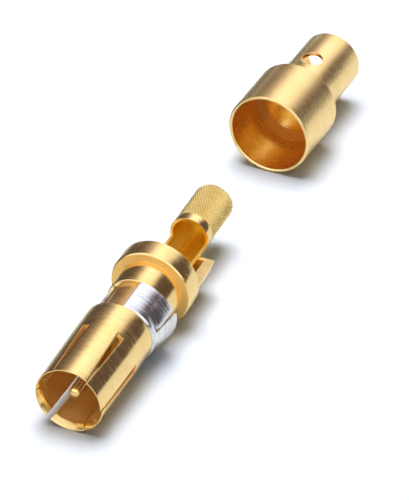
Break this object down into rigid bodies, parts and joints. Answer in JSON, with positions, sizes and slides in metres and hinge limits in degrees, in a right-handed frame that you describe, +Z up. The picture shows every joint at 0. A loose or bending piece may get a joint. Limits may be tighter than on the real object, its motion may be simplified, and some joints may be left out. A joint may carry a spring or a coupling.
{
  "type": "coaxial socket contact",
  "caption": "Crimp coaxial socket contact with slotted sleeve, round-nosed centre pin, sprung retaining clip and flange, with its stepped crimp ferrule lying behind it.",
  "frame": {"origin": "on the surface it lies on, under the middle of the overall box", "axes": "+X from the socket mouth to the cable end and the ferrule, +Z up, the cable window opens upwards"},
  "size_m": [0.0536, 0.0076, 0.0074],
  "materials": {
    "gold_body": "satin gold plating over turned brass",
    "white_insulator": "matte white fluoropolymer",
    "gold_pin": "bright gold plating",
    "tinned_clip": "tin plated spring strip with fine rolling marks",
    "gold_ferrule": "satin gold plating over turned brass"
  },
  "bodies": {
    "root": {"contact_body": "gold_body", "insulator": "white_insulator", "centre_pin": "gold_pin", "retaining_clip": "tinned_clip", "crimp_ferrule": "gold_ferrule"}
  },
  "joints": []
}
